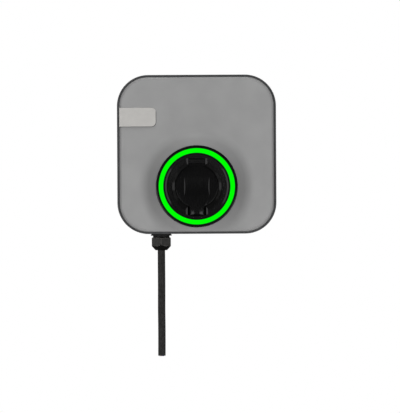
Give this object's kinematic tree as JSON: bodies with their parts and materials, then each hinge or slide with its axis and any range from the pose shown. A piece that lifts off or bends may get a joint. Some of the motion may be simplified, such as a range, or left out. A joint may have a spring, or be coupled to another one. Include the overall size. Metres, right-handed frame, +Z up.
{
  "type": "ev wallbox",
  "caption": "Wall-mounted EV charging box with a grey cover flaring round a lidded socket, a green light ring, and a supply cable leaving through a gland below.",
  "frame": {"origin": "on the wall plane, at the centre of the wall plate's four wall holes", "axes": "+Z up, -Y out of the wall towards the user, +Y into the wall, +X to the user's right"},
  "size_m": [0.25, 0.107, 0.4427],
  "materials": {
    "shell_plastic": "dark moulded plastic, fine texture",
    "cover_plastic": "grey satin moulded plastic",
    "badge_plastic": "pale smooth plate",
    "black_gloss": "black glossy moulded plastic",
    "socket_plastic": "black moulded plastic",
    "light_guide": "green lit light guide",
    "gland_plastic": "black polyamide",
    "rubber": "black soft rubber",
    "cable_jacket": "black rubber jacket",
    "plate_steel": "zinc plated sheet",
    "screw_steel": "zinc plated",
    "blackened_steel": "blackened spring steel",
    "contact_silver": "silver plated brass",
    "board_laminate": "green solder mask",
    "relay_plastic": "black moulded case",
    "terminal_plastic": "green moulded block",
    "module_metal": "tinned can",
    "ribbon_grey": "grey flat cable",
    "brown_insulation": "brown core",
    "black_insulation": "black core",
    "grey_insulation": "grey core",
    "blue_insulation": "blue core",
    "green_insulation": "green and yellow core"
  },
  "bodies": {
    "root": {"badge_plate": "badge_plastic", "board_screws": "screw_steel", "board_spacers": "screw_steel", "contact_carrier": "socket_plastic", "contact_cp": "contact_silver", "contact_l1": "contact_silver", "contact_l2": "contact_silver", "contact_l3": "contact_silver", "contact_n": "contact_silver", "contact_pe": "contact_silver", "contact_pp": "contact_silver", "control_board": "board_laminate", "core_l1": "brown_insulation", "core_l2": "black_insulation", "core_l3": "grey_insulation", "core_n": "blue_insulation", "core_pe": "green_insulation", "cover_gasket": "rubber", "cover_screws": "screw_steel", "current_sensor": "relay_plastic", "frame_screws": "screw_steel", "front_cover": "cover_plastic", "gland_body": "gland_plastic", "gland_locknut": "gland_plastic", "gland_nut": "gland_plastic", "gland_seal": "rubber", "gland_washer": "rubber", "led_board": "board_laminate", "lid_frame": "black_gloss", "lid_pin": "blackened_steel", "lid_spring": "blackened_steel", "light_ring": "light_guide", "lock_actuator": "gland_plastic", "locking_screws": "screw_steel", "pilot_wires": "cable_jacket", "power_board": "board_laminate", "radio_module": "module_metal", "rear_shell": "shell_plastic", "relay_l1_l2": "relay_plastic", "relay_l3_n": "relay_plastic", "rfid_board": "board_laminate", "ribbon_cable": "ribbon_grey", "socket_gasket": "rubber", "socket_housing": "socket_plastic", "socket_rear_cap": "socket_plastic", "socket_screws": "screw_steel", "supply_cable": "cable_jacket", "supply_module": "relay_plastic", "terminal_block": "terminal_plastic", "terminal_screws": "screw_steel", "trim_ring": "black_gloss", "wall_plate": "plate_steel", "wire_l1": "brown_insulation", "wire_l2": "black_insulation", "wire_l3": "grey_insulation", "wire_n": "blue_insulation", "wire_pe": "green_insulation"},
    "lid": {"lid": "black_gloss", "lid_seal": "rubber"},
    "lock_bolt": {"lock_pin": "screw_steel"}
  },
  "joints": [
    {"name": "lid_hinge", "type": "hinge", "parent": "root", "child": "lid", "pos_m": [0, -0.0937, -0.0111], "axis": [-1, 0, 0], "range_deg": [0, 95], "stiffness_Nm_per_rad": 0.01, "springref_deg": -34.38, "deforming": ["lid_spring"]},
    {"name": "lock_slide", "type": "slide", "parent": "root", "child": "lock_bolt", "axis": [0, 0, -1], "range_m": [0, 0.005]}
  ]
}
